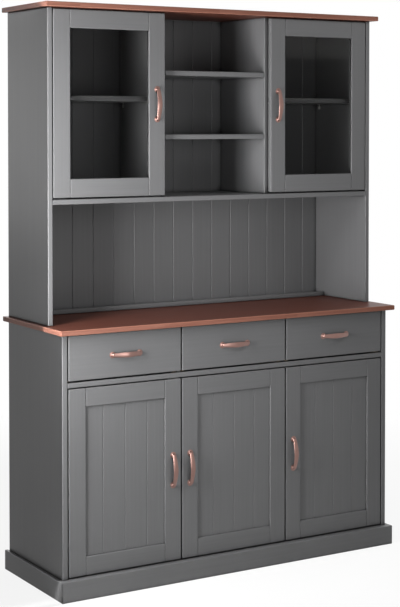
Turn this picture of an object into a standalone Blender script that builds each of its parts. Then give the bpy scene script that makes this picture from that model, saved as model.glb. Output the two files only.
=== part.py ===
"""Two-part buffet cabinet, modelled at real size in metres.

A base with three drawers over three panelled doors carries a shallower hutch. The hutch has two
glazed doors, an open middle with shelves, and an open niche above the worktop.
X runs to the right, the front looks along -Y, Z is up, and the origin is on the floor under the
middle of the cabinet.
"""

import math

import bmesh
import bpy
from mathutils import Matrix, Vector

# Overall sizes
CABINET_WIDTH = 1.250
BASE_DEPTH = 0.396
HUTCH_DEPTH = 0.300
SIDE_OVERHANG = 0.017
FRONT_OVERHANG = 0.028

# Boards and clearances
BOARD = 0.016
BASE_SIDE_BOARD = 0.018
BACK_BOARD = 0.008
BACK_BOARD_INSET = 0.004
TOP_BOARD = 0.016
EDGE_RADIUS = 0.0025
SEAT_GAP = 0.0003
CUT_OVERRUN = 0.002

# Plinth
PLINTH_HEIGHT = 0.064
PLINTH_BOARD = 0.024
PLINTH_RETURN_BOARD = 0.013

# Stack of heights, from the floor up
BASE_DOOR_HEIGHT = 0.582
DRAWER_FRONT_HEIGHT = 0.1405
NICHE_HEIGHT = 0.3765
GLAZED_DOOR_HEIGHT = 0.588
REVEAL = 0.0035
LOWER_REVEAL = 0.005

# Fronts
FRONT_BOARD = 0.018
FRONT_GAP = 0.0045
GLAZED_SIDE_REVEAL = 0.003
GLAZED_OVERLAP = 0.0034
BUMPER_GAP = 0.0037
STILE_WIDTH = 0.059
RAIL_WIDTH = 0.0585
FRAME_JOINT_OVERLAP = 0.0002
PANEL_BOARD = 0.007
PANEL_RECESS = 0.006
PANEL_TONGUE = 0.008
GLASS = 0.004
GLASS_RECESS = 0.007

# Tongue-and-groove boarding
BOARDING_PITCH = 0.0783
BOARDING_V_WIDTH = 0.004
BOARDING_V_DEPTH = 0.002

# Shelves
BASE_SHELF_CLEAR_HEIGHT = 0.290
BASE_SHELF_SETBACK = 0.060
GLAZED_SHELF_CLEAR_HEIGHT = 0.309
GLAZED_SHELF_SETBACK = 0.030
LOWER_OPEN_CLEAR_HEIGHT = 0.1855
MIDDLE_OPEN_CLEAR_HEIGHT = 0.1923
SHELF_CLEARANCE = 0.0005
BACK_RAIL_HEIGHT = 0.016
BACK_RAIL_STANDOFF = 0.041

# Drawers
DRAWER_BOX_HEIGHT = 0.100
DRAWER_BOX_DEPTH = 0.345
DRAWER_WALL = 0.012
DRAWER_BOTTOM = 0.005
DRAWER_BOTTOM_RAISE = 0.008
DRAWER_SIDE_CLEARANCE = 0.0015

# Bow handles
HANDLE_SPACING = 0.096
HANDLE_FOOT_RADIUS = 0.0105
HANDLE_FOOT_LIP = 0.002
HANDLE_NECK_RADIUS = 0.0035
HANDLE_END_RISE = 0.008
HANDLE_MIDDLE_RISE = 0.020
HANDLE_THICKNESS = 0.004
HANDLE_MIDDLE_WIDTH = 0.015
HANDLE_END_WIDTH = 0.010
HANDLE_END_OVERRUN = 0.004

# Cup hinges
HINGE_INSET = 0.090
CUP_RADIUS = 0.0175
CUP_DEPTH = 0.012
CUP_EDGE_DISTANCE = 0.004
HINGE_PLATE_BOARD = 0.003
HINGE_PLATE_LENGTH = 0.040
HINGE_PLATE_HEIGHT = 0.044
HINGE_ARM_HEIGHT = 0.012
HINGE_ARM_REACH = 0.013
HINGE_ARM_LENGTH = 0.050
HINGE_ARM_RUN = 0.012
HINGE_TIP_NEAR = 0.021
HINGE_TIP_FAR = 0.036

# Counts, shares and limits of the mesh
HANDLE_POINTS = 15
STRAP_RESOLUTION = 2
ARCH_POWER = 1.6
FOOT_SHOULDER_SHARE = 0.5
NECK_SINK_SHARE = 0.25
FOOT_SIDES = 20
CUP_SIDES = 32
EDGE_SEGMENTS = 2
FRONTS_ACROSS = 3
WELD_DISTANCE = 0.00001
SHARP_DEGREES = 40

# Colours
GREY_LACQUER = (0.118, 0.118, 0.119, 1.0)
BROWN_STAIN = (0.205, 0.072, 0.048, 1.0)
COPPER = (0.66, 0.30, 0.20, 1.0)
STEEL = (0.55, 0.55, 0.56, 1.0)
PANE = (0.75, 0.80, 0.78, 1.0)
PALE_WOOD = (0.42, 0.32, 0.22, 1.0)

# Places worked out from the sizes
half_width = CABINET_WIDTH / 2
back_y = (FRONT_OVERHANG + BASE_DEPTH + BACK_BOARD) / 2
side_back_y = back_y - BACK_BOARD
base_front_y = side_back_y - BASE_DEPTH
hutch_front_y = side_back_y - HUTCH_DEPTH
base_inner_x = half_width - BASE_SIDE_BOARD
hutch_inner_x = half_width - BOARD
floor_bottom_z = PLINTH_HEIGHT - BOARD
base_door_bottom_z = PLINTH_HEIGHT + REVEAL
base_door_top_z = base_door_bottom_z + BASE_DOOR_HEIGHT
deck_bottom_z = base_door_top_z + REVEAL
deck_top_z = deck_bottom_z + BOARD
drawer_bottom_z = deck_top_z + LOWER_REVEAL
drawer_top_z = drawer_bottom_z + DRAWER_FRONT_HEIGHT
worktop_bottom_z = drawer_top_z + REVEAL
worktop_top_z = worktop_bottom_z + TOP_BOARD
hutch_deck_bottom_z = worktop_top_z + NICHE_HEIGHT
hutch_deck_top_z = hutch_deck_bottom_z + BOARD
glazed_bottom_z = hutch_deck_top_z + LOWER_REVEAL
glazed_top_z = glazed_bottom_z + GLAZED_DOOR_HEIGHT
crown_bottom_z = glazed_top_z + REVEAL
crown_top_z = crown_bottom_z + TOP_BOARD
front_span = 2 * (base_inner_x - REVEAL)
front_width = (front_span - (FRONTS_ACROSS - 1) * FRONT_GAP) / FRONTS_ACROSS
front_pitch = front_width + FRONT_GAP
partition_x = front_pitch / 2
partition_near_x = partition_x - BOARD / 2
partition_far_x = partition_x + BOARD / 2
partition_setback = FRONT_BOARD + BUMPER_GAP


def material(name, colour, roughness, metallic=0.0, transmission=0.0):
    made = bpy.data.materials.new(name)
    made.use_nodes = True
    made.diffuse_color = colour
    shader = made.node_tree.nodes["Principled BSDF"]
    shader.inputs["Base Color"].default_value = colour
    shader.inputs["Roughness"].default_value = roughness
    shader.inputs["Metallic"].default_value = metallic
    shader.inputs["Transmission Weight"].default_value = transmission
    return made


def collection(name):
    made = bpy.data.collections.new(name)
    bpy.context.scene.collection.children.link(made)
    return made


def place(name, data, position, carrier, home):
    """Makes an object at a world position, carried by an empty where one is given."""
    made = bpy.data.objects.new(name, data)
    home.objects.link(made)
    made.location = position
    if carrier:
        made.parent = carrier
        made.location = Vector(position) - carrier.location
    return made


def axis_empty(name, position):
    return place(name, None, position, None, cabinet)


def box(name, x, y, z, finish=None, carrier=None, home=None):
    """A plain box between low and high values on each axis.

    A loose box has its origin in its middle, and a carried one at its carrier, so that boxes on
    one carrier share their face planes exactly.
    """
    origin = carrier.location.copy() if carrier else Vector((sum(x), sum(y), sum(z))) / 2
    shape = bmesh.new()
    bmesh.ops.create_cube(shape, size=1.0)
    for vert in shape.verts:
        for axis, span in enumerate((x, y, z)):
            vert.co[axis] = span[vert.co[axis] > 0] - origin[axis]
    mesh = bpy.data.meshes.new(name)
    shape.to_mesh(mesh)
    shape.free()
    if finish:
        mesh.materials.append(finish)
    return place(name, mesh, origin, carrier, home or cabinet)


def ease_edges(piece):
    """Rounds the edges of a board, as a sanded and lacquered edge is."""
    bevel = piece.modifiers.new("eased_edges", "BEVEL")
    bevel.width = EDGE_RADIUS
    bevel.segments = EDGE_SEGMENTS
    bevel.limit_method = "ANGLE"


def board(name, x, y, z, finish, carrier=None, home=None):
    made = box(name, x, y, z, finish, carrier, home)
    ease_edges(made)
    return made


def combine(piece, other, operation):
    other.hide_render = True
    other.display_type = "WIRE"
    step = piece.modifiers.new(f"{operation.lower()}_{other.name}", "BOOLEAN")
    step.operation = operation
    step.object = other
    return other


def mirrored(low, high, side):
    """The span between two distances from the middle, on the left (side -1) or right (side 1)."""
    return (min(side * low, side * high), max(side * low, side * high))


def outline(name, points, height, position, finish=None, carrier=None, home=None):
    """A closed plan outline, extruded upwards by a height about its own middle."""
    curve = bpy.data.curves.new(name, "CURVE")
    curve.dimensions = "2D"
    curve.fill_mode = "BOTH"
    curve.extrude = height / 2
    spline = curve.splines.new("POLY")
    spline.points.add(len(points) - 1)
    for slot, (x, y) in zip(spline.points, points):
        slot.co = (x, y, 0, 1)
    spline.use_cyclic_u = True
    if finish:
        curve.materials.append(finish)
    return place(name, curve, position, carrier, home or cabinet)


def mesh_from(piece):
    """The evaluated mesh of an object, with the loose caps of a curve welded on."""
    bpy.context.view_layer.update()
    graph = bpy.context.evaluated_depsgraph_get()
    mesh = bpy.data.meshes.new_from_object(piece.evaluated_get(graph))
    shape = bmesh.new()
    shape.from_mesh(mesh)
    bmesh.ops.remove_doubles(shape, verts=shape.verts, dist=WELD_DISTANCE)
    bmesh.ops.recalc_face_normals(shape, faces=shape.faces)
    shape.to_mesh(mesh)
    shape.free()
    return mesh


def boarding_points(half_span, thickness):
    """Plan outline of tongue-and-groove boarding: V grooves in the front face, at a fixed pitch."""
    front = -thickness / 2
    back = thickness / 2
    count = math.floor((half_span - BOARDING_V_WIDTH) / BOARDING_PITCH)
    points = [(-half_span, back), (-half_span, front)]
    for step in range(-count, count + 1):
        middle = step * BOARDING_PITCH
        points.append((middle - BOARDING_V_WIDTH / 2, front))
        points.append((middle, front + BOARDING_V_DEPTH))
        points.append((middle + BOARDING_V_WIDTH / 2, front))
    points += [(half_span, front), (half_span, back)]
    return points


for item in list(bpy.data.objects):
    bpy.data.objects.remove(item, do_unlink=True)

cabinet = collection("buffet_cabinet")
cutters = collection("buffet_cabinet_cutters")
grey = material("grey_lacquered_wood", GREY_LACQUER, 0.42)
brown = material("brown_stained_wood", BROWN_STAIN, 0.38)
copper = material("copper_plated_metal", COPPER, 0.28, metallic=1.0)
steel = material("nickel_plated_steel", STEEL, 0.32, metallic=1.0)
pane = material("clear_glass", PANE, 0.02, transmission=1.0)
pale = material("pale_birch_ply", PALE_WOOD, 0.55)


def base_carcass():
    """Sides, floor, drawer deck, partitions, back, shelves, plinth and worktop of the base."""
    depth = (base_front_y, side_back_y)
    set_back = (base_front_y + partition_setback, side_back_y)
    inner = base_inner_x - SEAT_GAP
    for side, word in ((-1, "left"), (1, "right")):
        board(
            f"base_side_{word}",
            mirrored(base_inner_x, half_width, side),
            depth,
            (0, worktop_bottom_z - SEAT_GAP),
            grey,
        )
        board(
            f"plinth_{word}",
            mirrored(half_width + SEAT_GAP, half_width + PLINTH_RETURN_BOARD, side),
            (base_front_y, back_y),
            (0, PLINTH_HEIGHT),
            grey,
        )
        board(
            f"drawer_partition_{word}",
            mirrored(partition_near_x, partition_far_x, side),
            set_back,
            (deck_top_z + SEAT_GAP, worktop_bottom_z - SEAT_GAP),
            grey,
        )
    plinth_end = half_width + PLINTH_RETURN_BOARD
    plinth_depth = (base_front_y - PLINTH_BOARD, base_front_y - SEAT_GAP)
    board("plinth_front", (-plinth_end, plinth_end), plinth_depth, (0, PLINTH_HEIGHT), grey)
    board("base_floor", (-inner, inner), depth, (floor_bottom_z, PLINTH_HEIGHT), grey)
    board("drawer_deck", (-inner, inner), depth, (deck_bottom_z, deck_top_z), grey)
    board(
        "door_partition",
        (partition_near_x, partition_far_x),
        set_back,
        (PLINTH_HEIGHT + SEAT_GAP, deck_bottom_z - SEAT_GAP),
        grey,
    )
    back_end = half_width - BACK_BOARD_INSET
    board(
        "base_back_panel",
        (-back_end, back_end),
        (side_back_y + SEAT_GAP, back_y),
        (floor_bottom_z, worktop_bottom_z - SEAT_GAP),
        grey,
    )
    shelf_depth = (base_front_y + BASE_SHELF_SETBACK, side_back_y)
    shelf_z = PLINTH_HEIGHT + BASE_SHELF_CLEAR_HEIGHT
    shelf_height = (shelf_z, shelf_z + BOARD)
    wide = (-base_inner_x + SHELF_CLEARANCE, partition_near_x - SHELF_CLEARANCE)
    narrow = (partition_far_x + SHELF_CLEARANCE, base_inner_x - SHELF_CLEARANCE)
    board("base_shelf_wide", wide, shelf_depth, shelf_height, grey)
    board("base_shelf_narrow", narrow, shelf_depth, shelf_height, grey)
    top_end = half_width + SIDE_OVERHANG
    top_depth = (base_front_y - FRONT_OVERHANG, back_y)
    board("worktop", (-top_end, top_end), top_depth, (worktop_bottom_z, worktop_top_z), brown)


def hutch_carcass():
    """Sides, deck, partitions, shelves, boarded back, low rail and crown board of the hutch."""
    depth = (hutch_front_y, side_back_y)
    set_back = (hutch_front_y + partition_setback, side_back_y)
    inner = hutch_inner_x - SEAT_GAP
    upright = (worktop_top_z + SEAT_GAP, crown_bottom_z - SEAT_GAP)
    glazed_z = hutch_deck_top_z + GLAZED_SHELF_CLEAR_HEIGHT
    for side, word in ((-1, "left"), (1, "right")):
        board(f"hutch_side_{word}", mirrored(hutch_inner_x, half_width, side), depth, upright, grey)
        board(
            f"hutch_partition_{word}",
            mirrored(partition_near_x, partition_far_x, side),
            set_back,
            (hutch_deck_top_z + SEAT_GAP, crown_bottom_z - SEAT_GAP),
            grey,
        )
        board(
            f"glazed_shelf_{word}",
            mirrored(partition_far_x + SHELF_CLEARANCE, hutch_inner_x - SHELF_CLEARANCE, side),
            (hutch_front_y + GLAZED_SHELF_SETBACK, side_back_y),
            (glazed_z, glazed_z + BOARD),
            grey,
        )
    board(
        "hutch_deck", (-inner, inner), depth, (hutch_deck_bottom_z, hutch_deck_top_z), grey
    )
    lower_z = hutch_deck_top_z + LOWER_OPEN_CLEAR_HEIGHT
    upper_z = lower_z + BOARD + MIDDLE_OPEN_CLEAR_HEIGHT
    open_end = partition_near_x - SHELF_CLEARANCE
    for word, low in (("lower", lower_z), ("upper", upper_z)):
        board(f"open_shelf_{word}", (-open_end, open_end), set_back, (low, low + BOARD), grey)
    rail_back = side_back_y - BACK_RAIL_STANDOFF
    rail_height = (worktop_top_z + SEAT_GAP, worktop_top_z + BACK_RAIL_HEIGHT)
    board("hutch_back_rail", (-inner, inner), (rail_back - BOARD, rail_back), rail_height, grey)
    outline(
        "hutch_back_panel",
        boarding_points(half_width - BACK_BOARD_INSET, BACK_BOARD - SEAT_GAP),
        upright[1] - upright[0],
        (0, (side_back_y + SEAT_GAP + back_y) / 2, sum(upright) / 2),
        grey,
    )
    top_end = half_width + SIDE_OVERHANG
    crown_depth = (hutch_front_y - FRONT_OVERHANG, back_y)
    board("crown_board", (-top_end, top_end), crown_depth, (crown_bottom_z, crown_top_z), brown)


def handle_shape():
    """One bow handle, along X, standing out along -Y from a face at Y zero.

    The strap is a tube whose radius swells towards its middle. It is made as thick as the strap
    and then widened across the bow, and a turned foot under each end is joined to it.
    """
    curve = bpy.data.curves.new("handle_strap", "CURVE")
    curve.dimensions = "3D"
    curve.bevel_depth = HANDLE_THICKNESS / 2
    curve.bevel_resolution = STRAP_RESOLUTION
    curve.use_fill_caps = True
    spline = curve.splines.new("POLY")
    spline.points.add(HANDLE_POINTS - 1)
    half_length = HANDLE_SPACING / 2 + HANDLE_END_OVERRUN
    end_share = HANDLE_END_WIDTH / HANDLE_MIDDLE_WIDTH
    for index, slot in enumerate(spline.points):
        share = 2 * index / (HANDLE_POINTS - 1) - 1
        bow = 1 - abs(share) ** ARCH_POWER
        rise = HANDLE_END_RISE + (HANDLE_MIDDLE_RISE - HANDLE_END_RISE) * bow
        slot.co = (share * half_length, -rise, 0, 1)
        slot.radius = end_share + (1 - end_share) * bow
    strap_curve = place("handle_strap_curve", curve, (0, 0, 0), None, cutters)
    strap_mesh = mesh_from(strap_curve)
    bpy.data.objects.remove(strap_curve, do_unlink=True)
    strap_mesh.transform(Matrix.Diagonal((1, 1, HANDLE_MIDDLE_WIDTH / HANDLE_THICKNESS, 1)))
    strap = place("handle_strap", strap_mesh, (0, 0, 0), None, cutters)
    neck_end = HANDLE_END_RISE + NECK_SINK_SHARE * HANDLE_THICKNESS
    for side, word in ((-1, "first"), (1, "second")):
        shape = bmesh.new()
        bmesh.ops.create_cone(
            shape,
            cap_ends=True,
            segments=FOOT_SIDES,
            radius1=HANDLE_FOOT_RADIUS,
            radius2=HANDLE_NECK_RADIUS,
            depth=neck_end,
        )
        lip = bmesh.ops.bisect_plane(
            shape,
            geom=shape.verts[:] + shape.edges[:] + shape.faces[:],
            plane_co=(0, 0, HANDLE_FOOT_LIP - neck_end / 2),
            plane_no=(0, 0, 1),
        )
        ring = [vert for vert in lip["geom_cut"] if isinstance(vert, bmesh.types.BMVert)]
        for vert in ring:
            flat = Vector((vert.co.x, vert.co.y))
            flat *= FOOT_SHOULDER_SHARE * HANDLE_FOOT_RADIUS / flat.length
            vert.co.x = flat.x
            vert.co.y = flat.y
        bmesh.ops.transform(
            shape, matrix=Matrix.Rotation(math.radians(90), 4, "X"), verts=shape.verts
        )
        mesh = bpy.data.meshes.new(f"handle_foot_{word}")
        shape.to_mesh(mesh)
        shape.free()
        foot = place(
            f"handle_foot_{word}", mesh, (side * HANDLE_SPACING / 2, -neck_end / 2, 0), None, cutters
        )
        combine(strap, foot, "UNION")
    mesh = mesh_from(strap)
    mesh.name = "bow_handle"
    mesh.materials.clear()
    mesh.materials.append(copper)
    mesh.shade_smooth()
    mesh.set_sharp_from_angle(angle=math.radians(SHARP_DEGREES))
    strap.hide_render = True
    strap.display_type = "WIRE"
    return mesh


def handle(name, x, face_y, z, carrier, upright):
    made = place(name, bow_handle, (x, face_y - SEAT_GAP, z), carrier, cabinet)
    if upright:
        made.rotation_euler = (0, math.radians(90), 0)
    return made


def drawer(word, middle_x, box_x):
    """A drawer: a slab front, a box open at the top, and a level bow handle."""
    back_of_front = base_front_y + FRONT_BOARD
    carrier = axis_empty(f"drawer_{word}_slide", (middle_x, base_front_y, drawer_bottom_z))
    front_x = (middle_x - front_width / 2, middle_x + front_width / 2)
    front_z = (drawer_bottom_z, drawer_top_z)
    board(f"drawer_front_{word}", front_x, (base_front_y, back_of_front), front_z, grey, carrier)
    box_y = (back_of_front + SEAT_GAP, back_of_front + DRAWER_BOX_DEPTH)
    box_z = (deck_top_z + SEAT_GAP, deck_top_z + DRAWER_BOX_HEIGHT)
    outer_x = (box_x[0] + DRAWER_SIDE_CLEARANCE, box_x[1] - DRAWER_SIDE_CLEARANCE)
    shell = box(f"drawer_box_{word}", outer_x, box_y, box_z, pale, carrier)
    inner_x = (outer_x[0] + DRAWER_WALL, outer_x[1] - DRAWER_WALL)
    inner_y = (box_y[0] + DRAWER_WALL, box_y[1] - DRAWER_WALL)
    floor_z = box_z[0] + DRAWER_BOTTOM_RAISE + DRAWER_BOTTOM
    inside = (floor_z, box_z[1] + CUT_OVERRUN)
    under = (box_z[0] - CUT_OVERRUN, box_z[0] + DRAWER_BOTTOM_RAISE)
    for part, height in (("inside", inside), ("under", under)):
        cutter = box(f"drawer_{part}_{word}", inner_x, inner_y, height, None, carrier, cutters)
        combine(shell, cutter, "DIFFERENCE")
    middle_z = sum(front_z) / 2
    handle(f"drawer_handle_{word}", middle_x, base_front_y, middle_z, carrier, False)


def hinge(name, face_x, inward, edge_x, front_y, z):
    """The plate and arm of a cup hinge, on an upright face, reaching into the door's cup bore.

    Plan points run from the mounting face inwards and from the front backwards. The arm stays
    behind the door's back face except at its tip, which sits in the bore.
    """
    door_back = FRONT_BOARD + SEAT_GAP
    bore_floor = FRONT_BOARD - CUP_DEPTH + SEAT_GAP
    reveal = (edge_x - face_x) * inward
    near = reveal + HINGE_TIP_NEAR
    far = reveal + HINGE_TIP_FAR
    elbow = door_back + HINGE_ARM_RUN
    tail = door_back + HINGE_ARM_LENGTH
    start = max(SEAT_GAP, reveal + SEAT_GAP)
    arm_start = HINGE_PLATE_BOARD / 2
    plan = [
        (arm_start, tail),
        (HINGE_ARM_REACH, tail),
        (HINGE_ARM_REACH, elbow),
        (far, door_back + SEAT_GAP),
        (far, bore_floor),
        (near, bore_floor),
        (near, door_back),
        (start, door_back + BUMPER_GAP),
        (arm_start, door_back + BUMPER_GAP),
    ]
    points = [(inward * x, y) for x, y in plan]
    arm_curve = outline(
        f"{name}_arm_curve", points, HINGE_ARM_HEIGHT, (face_x, front_y, z), None, None, cutters
    )
    arm_mesh = mesh_from(arm_curve)
    bpy.data.objects.remove(arm_curve, do_unlink=True)
    arm = place(f"{name}_arm", arm_mesh, (face_x, front_y, z), None, cutters)
    plate_x = (face_x + inward * SEAT_GAP, face_x + inward * HINGE_PLATE_BOARD)
    plate_y = (front_y + tail - HINGE_PLATE_LENGTH, front_y + tail)
    plate_z = (z - HINGE_PLATE_HEIGHT / 2, z + HINGE_PLATE_HEIGHT / 2)
    plate = box(name, (min(plate_x), max(plate_x)), plate_y, plate_z, steel)
    combine(plate, arm, "UNION")


def door(word, low_x, high_x, low_z, high_z, front_y, hinge_side, face_x, glazed):
    """A framed door on two cup hinges, with its panel or pane and an upright bow handle.

    hinge_side is -1 for a door hung on its left and 1 for one hung on its right; face_x is the
    face of the upright that carries its hinges.
    """
    edge_x = low_x if hinge_side < 0 else high_x
    free_x = high_x if hinge_side < 0 else low_x
    inward = -hinge_side
    carrier = axis_empty(f"{word}_hinge_axis", (edge_x, front_y, low_z))
    depth = (front_y, front_y + FRONT_BOARD)
    inner_low_x = low_x + STILE_WIDTH
    inner_high_x = high_x - STILE_WIDTH
    inner_low_z = low_z + RAIL_WIDTH
    inner_high_z = high_z - RAIL_WIDTH
    height = (low_z, high_z)
    frame = board(f"{word}_frame", (low_x, inner_low_x), depth, height, grey, carrier)
    rail_x = (inner_low_x - FRAME_JOINT_OVERLAP, inner_high_x + FRAME_JOINT_OVERLAP)
    others = [
        board(f"{word}_stile", (inner_high_x, high_x), depth, height, grey, carrier, cutters),
        board(f"{word}_rail_low", rail_x, depth, (low_z, inner_low_z), grey, carrier, cutters),
        board(f"{word}_rail_high", rail_x, depth, (inner_high_z, high_z), grey, carrier, cutters),
    ]
    for other in others:
        combine(frame, other, "UNION")
    seat_x = (inner_low_x - PANEL_TONGUE, inner_high_x + PANEL_TONGUE)
    seat_z = (inner_low_z - PANEL_TONGUE, inner_high_z + PANEL_TONGUE)
    if glazed:
        fill_front = front_y + GLASS_RECESS
        fill = GLASS
        seat_back = front_y + FRONT_BOARD + CUT_OVERRUN
    else:
        fill_front = front_y + PANEL_RECESS
        fill = PANEL_BOARD
        seat_back = fill_front + PANEL_BOARD + SEAT_GAP
    seat_y = (fill_front - SEAT_GAP, seat_back)
    seat = box(f"{word}_seat", seat_x, seat_y, seat_z, None, carrier, cutters)
    combine(frame, seat, "DIFFERENCE")
    fill_x = (seat_x[0] + SEAT_GAP, seat_x[1] - SEAT_GAP)
    fill_z = (seat_z[0] + SEAT_GAP, seat_z[1] - SEAT_GAP)
    if glazed:
        box(f"{word}_pane", fill_x, (fill_front, fill_front + fill), fill_z, pane, carrier)
    else:
        outline(
            f"{word}_panel",
            boarding_points((fill_x[1] - fill_x[0]) / 2, fill),
            fill_z[1] - fill_z[0],
            (sum(fill_x) / 2, fill_front + fill / 2, sum(fill_z) / 2),
            grey,
            carrier,
        )
    cup_x = edge_x + inward * (CUP_EDGE_DISTANCE + CUP_RADIUS)
    cup_front = front_y + FRONT_BOARD - CUP_DEPTH
    cup_length = CUP_DEPTH + CUT_OVERRUN
    for end, z in (("low", low_z + HINGE_INSET), ("high", high_z - HINGE_INSET)):
        shape = bmesh.new()
        bmesh.ops.create_cone(
            shape,
            cap_ends=True,
            segments=CUP_SIDES,
            radius1=CUP_RADIUS,
            radius2=CUP_RADIUS,
            depth=cup_length,
        )
        turn = Matrix.Rotation(math.radians(90), 4, "X")
        bmesh.ops.transform(shape, matrix=turn, verts=shape.verts)
        mesh = bpy.data.meshes.new(f"{word}_cup_{end}")
        shape.to_mesh(mesh)
        shape.free()
        middle = (cup_x, cup_front + cup_length / 2, z)
        cutter = place(f"{word}_cup_{end}", mesh, middle, carrier, cutters)
        combine(frame, cutter, "DIFFERENCE")
        hinge(f"{word}_hinge_{end}", face_x, inward, edge_x, front_y, z)
    handle_x = free_x + hinge_side * STILE_WIDTH / 2
    handle(f"{word}_handle", handle_x, front_y, (low_z + high_z) / 2, carrier, True)


base_carcass()
hutch_carcass()
bow_handle = handle_shape()

for word, step, box_x in (
    ("left", -1, (-base_inner_x, -partition_far_x)),
    ("middle", 0, (-partition_near_x, partition_near_x)),
    ("right", 1, (partition_far_x, base_inner_x)),
):
    drawer(word, step * front_pitch, box_x)

for word, step, hinge_side, face_x in (
    ("left_door", -1, -1, -base_inner_x),
    ("middle_door", 0, 1, partition_near_x),
    ("right_door", 1, 1, base_inner_x),
):
    low_x = step * front_pitch - front_width / 2
    door(
        word,
        low_x,
        low_x + front_width,
        base_door_bottom_z,
        base_door_top_z,
        base_front_y,
        hinge_side,
        face_x,
        False,
    )

for side, word in ((-1, "left"), (1, "right")):
    span = mirrored(partition_far_x - GLAZED_OVERLAP, hutch_inner_x - GLAZED_SIDE_REVEAL, side)
    door(
        f"{word}_glazed_door",
        span[0],
        span[1],
        glazed_bottom_z,
        glazed_top_z,
        hutch_front_y,
        side,
        side * hutch_inner_x,
        True,
    )
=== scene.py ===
"""A two-part buffet cabinet in grey lacquered pine, with brown stained tops and copper handles.

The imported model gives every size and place. Each section below makes one piece, or one group of
like pieces, in the order in which the cabinet is put together.
X runs to the right, the front looks along -Y, Z is up, and everything is in metres.
"""

import math

import bmesh
import bpy
from mathutils import Matrix, Vector


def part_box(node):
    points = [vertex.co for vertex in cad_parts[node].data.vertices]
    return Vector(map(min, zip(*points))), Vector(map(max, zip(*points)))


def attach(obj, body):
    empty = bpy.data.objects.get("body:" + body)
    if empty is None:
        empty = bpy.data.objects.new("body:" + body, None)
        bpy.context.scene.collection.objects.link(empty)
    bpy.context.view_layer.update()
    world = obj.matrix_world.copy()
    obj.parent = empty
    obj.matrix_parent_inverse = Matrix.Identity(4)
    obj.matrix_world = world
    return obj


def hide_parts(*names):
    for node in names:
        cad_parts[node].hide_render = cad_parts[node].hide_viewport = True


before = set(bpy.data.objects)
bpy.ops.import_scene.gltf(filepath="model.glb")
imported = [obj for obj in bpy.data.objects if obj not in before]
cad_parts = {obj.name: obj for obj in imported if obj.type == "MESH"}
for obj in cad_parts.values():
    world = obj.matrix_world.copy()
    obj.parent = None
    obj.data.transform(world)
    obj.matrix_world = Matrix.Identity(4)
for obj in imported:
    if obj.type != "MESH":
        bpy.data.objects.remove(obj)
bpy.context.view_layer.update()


# Base sides
# Two upright boards of glued pine, planed, with their edges rounded over and sprayed grey.
# They stand on the floor, and every other board of the base is dowelled to them.
MM = 0.001
EASED_RADIUS = 2.5 * MM
EASED_STEPS = 4
SHARP_DEGREES = 38
UPRIGHT, LEVEL, DEEP = "upright", "level", "deep"
LACQUER_DEEP_GREY = "#5a5a5b"
LACQUER_PALE_GREY = "#606061"
LACQUER_IOR = 1.5
SATIN_SPECULAR = 0.2
SATIN_ROUGHNESS = {"To Min": 0.32, "To Max": 0.38}
STREAK_WIDTH = 7 * MM
STREAK_LENGTH = 420 * MM
PORE_WIDTH = 1.6 * MM
PORE_SHARE = 0.4
FILM_CLOUD = 240 * MM
CLOUD_SHARE = 0.35
CLOUD_SPREAD = {"From Min": 0.3, "From Max": 0.7}
FILM_RIPPLE = 0.07 * MM
# painted shade: gaps, grooves and inner corners of the grey lacquer darken towards near black
GAP_PAINTED_SHADE = "#0f0e0e"
PAINTED_SHADE_REACH = 28 * MM
PAINTED_SHADE_SPREAD = {"From Min": 0.3, "From Max": 0.62}


def linear(code):
    """An sRGB hex colour as linear red, green, blue and an alpha of one."""
    parts = [int(code[place : place + 2], 16) / 255 for place in (1, 3, 5)]
    parts = [p / 12.92 if p <= 0.04045 else ((p + 0.055) / 1.055) ** 2.4 for p in parts]
    return (*parts, 1.0)


def lay(tree, kind, feeds=None, out=None, **settings):
    """Adds a node: feeds are sockets to set or to link, settings are its own properties.

    It gives back the node, or the output that out names.
    """
    node = tree.nodes.new("ShaderNode" + kind)
    for word, value in settings.items():
        setattr(node, word, value)
    for socket, value in (feeds or {}).items():
        if isinstance(value, bpy.types.NodeSocket):
            tree.links.new(value, node.inputs[socket])
        else:
            node.inputs[socket].default_value = value
    return node if out is None else node.outputs[out]


def new_material(name):
    """An empty node material, with the tree to lay its nodes in and the surface to feed."""
    made = bpy.data.materials.new(name)
    made.use_nodes = True
    made.node_tree.nodes.clear()
    tree = made.node_tree
    return made, tree, lay(tree, "OutputMaterial").inputs["Surface"]


def wood_coordinates(tree, grain, length_share):
    """Object coordinates with the direction of the grain drawn in, so that spots become streaks."""
    place = lay(tree, "TexCoord", out="Object")
    scale = {UPRIGHT: (1, 1, length_share), LEVEL: (length_share, 1, 1), DEEP: (1, length_share, 1)}
    return lay(tree, "Mapping", {"Vector": place, "Scale": scale[grain]}, "Vector")


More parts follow.
